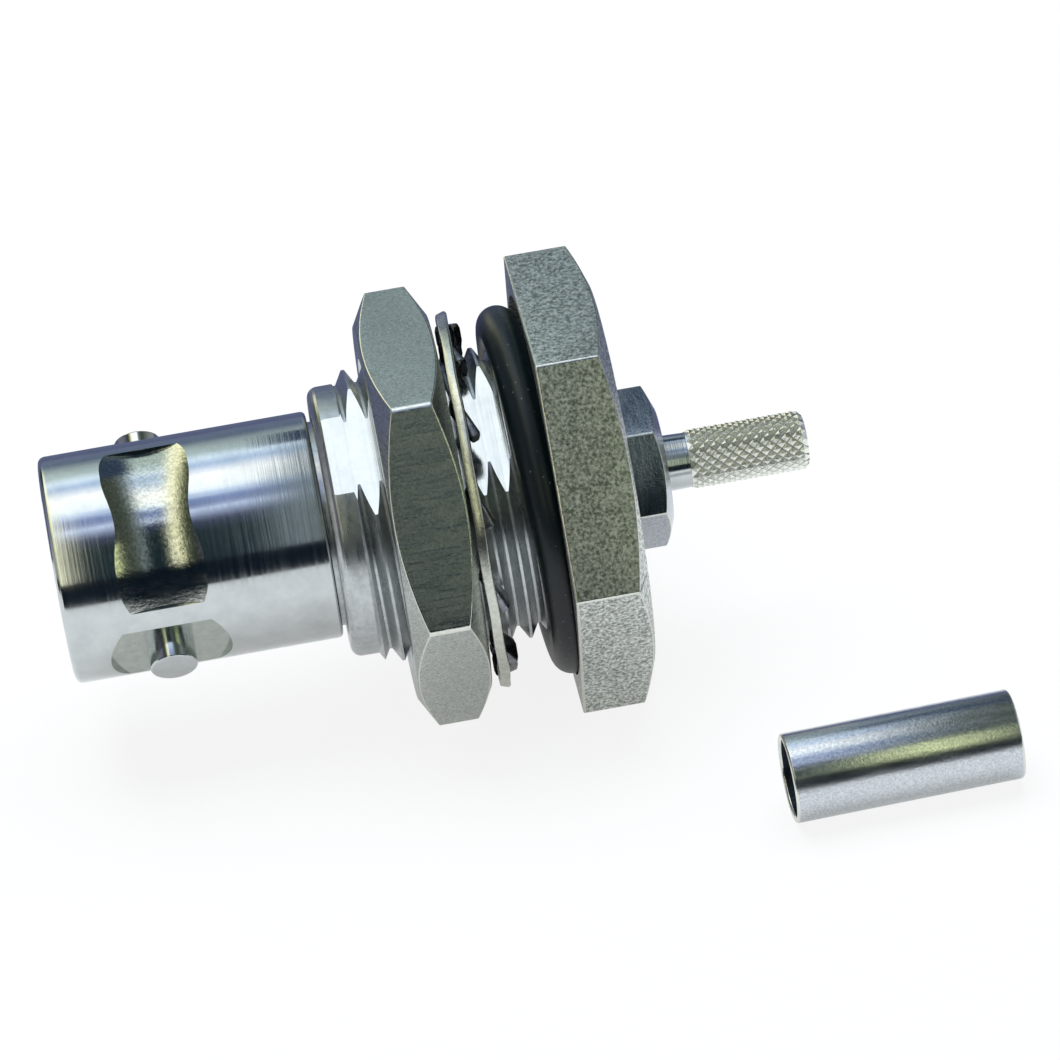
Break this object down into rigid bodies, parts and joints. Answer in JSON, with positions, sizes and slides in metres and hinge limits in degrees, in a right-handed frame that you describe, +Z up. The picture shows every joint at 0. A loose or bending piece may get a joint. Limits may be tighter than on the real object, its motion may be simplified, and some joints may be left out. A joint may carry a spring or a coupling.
{
  "type": "bnc connector",
  "caption": "Female bayonet coaxial connector with threaded body, hexagonal flange, nut, lock washer, sealing ring, crimp tube for thin cable and loose crimp ferrule.",
  "frame": {"origin": "on the connector axis, in the plane of the flange face that seats on the panel", "axes": "+X along the connector axis towards the cable end, +Z up with the connector lying on a flat of its flange"},
  "size_m": [0.0375, 0.0268, 0.017],
  "materials": {
    "body_nickel": "turned and milled, nickel plated",
    "crimp_nickel": "turned, knurled, nickel plated",
    "nut_nickel": "milled bar, nickel plated",
    "washer_nickel": "stamped bronze, nickel plated",
    "ferrule_nickel": "drawn tube, nickel plated",
    "contact_gold": "gold plated",
    "insulator_white": "turned fluoropolymer",
    "ring_rubber": "moulded rubber"
  },
  "bodies": {
    "connector": {"connector_body": "body_nickel", "front_insulator": "insulator_white", "centre_contact": "contact_gold", "rear_insulator": "insulator_white", "crimp_body": "crimp_nickel", "sealing_ring": "ring_rubber", "crimp_ferrule": "ferrule_nickel"},
    "washer": {"lock_washer": "washer_nickel"},
    "nut": {"hex_nut": "nut_nickel"}
  },
  "joints": [
    {"name": "washer_slide", "type": "slide", "parent": "connector", "child": "washer", "axis": [-1, 0, 0], "range_m": [-0.0006, 0.0046]},
    {"name": "nut_turn", "type": "hinge", "parent": "washer", "child": "nut", "pos_m": [0, 0, 0], "axis": [-1, 0, 0], "range_deg": [-230, 1780]}
  ],
  "couplings": [
    {"joint": "washer_slide", "follows": "nut_turn", "m_per_rad": 0.00014438}
  ]
}
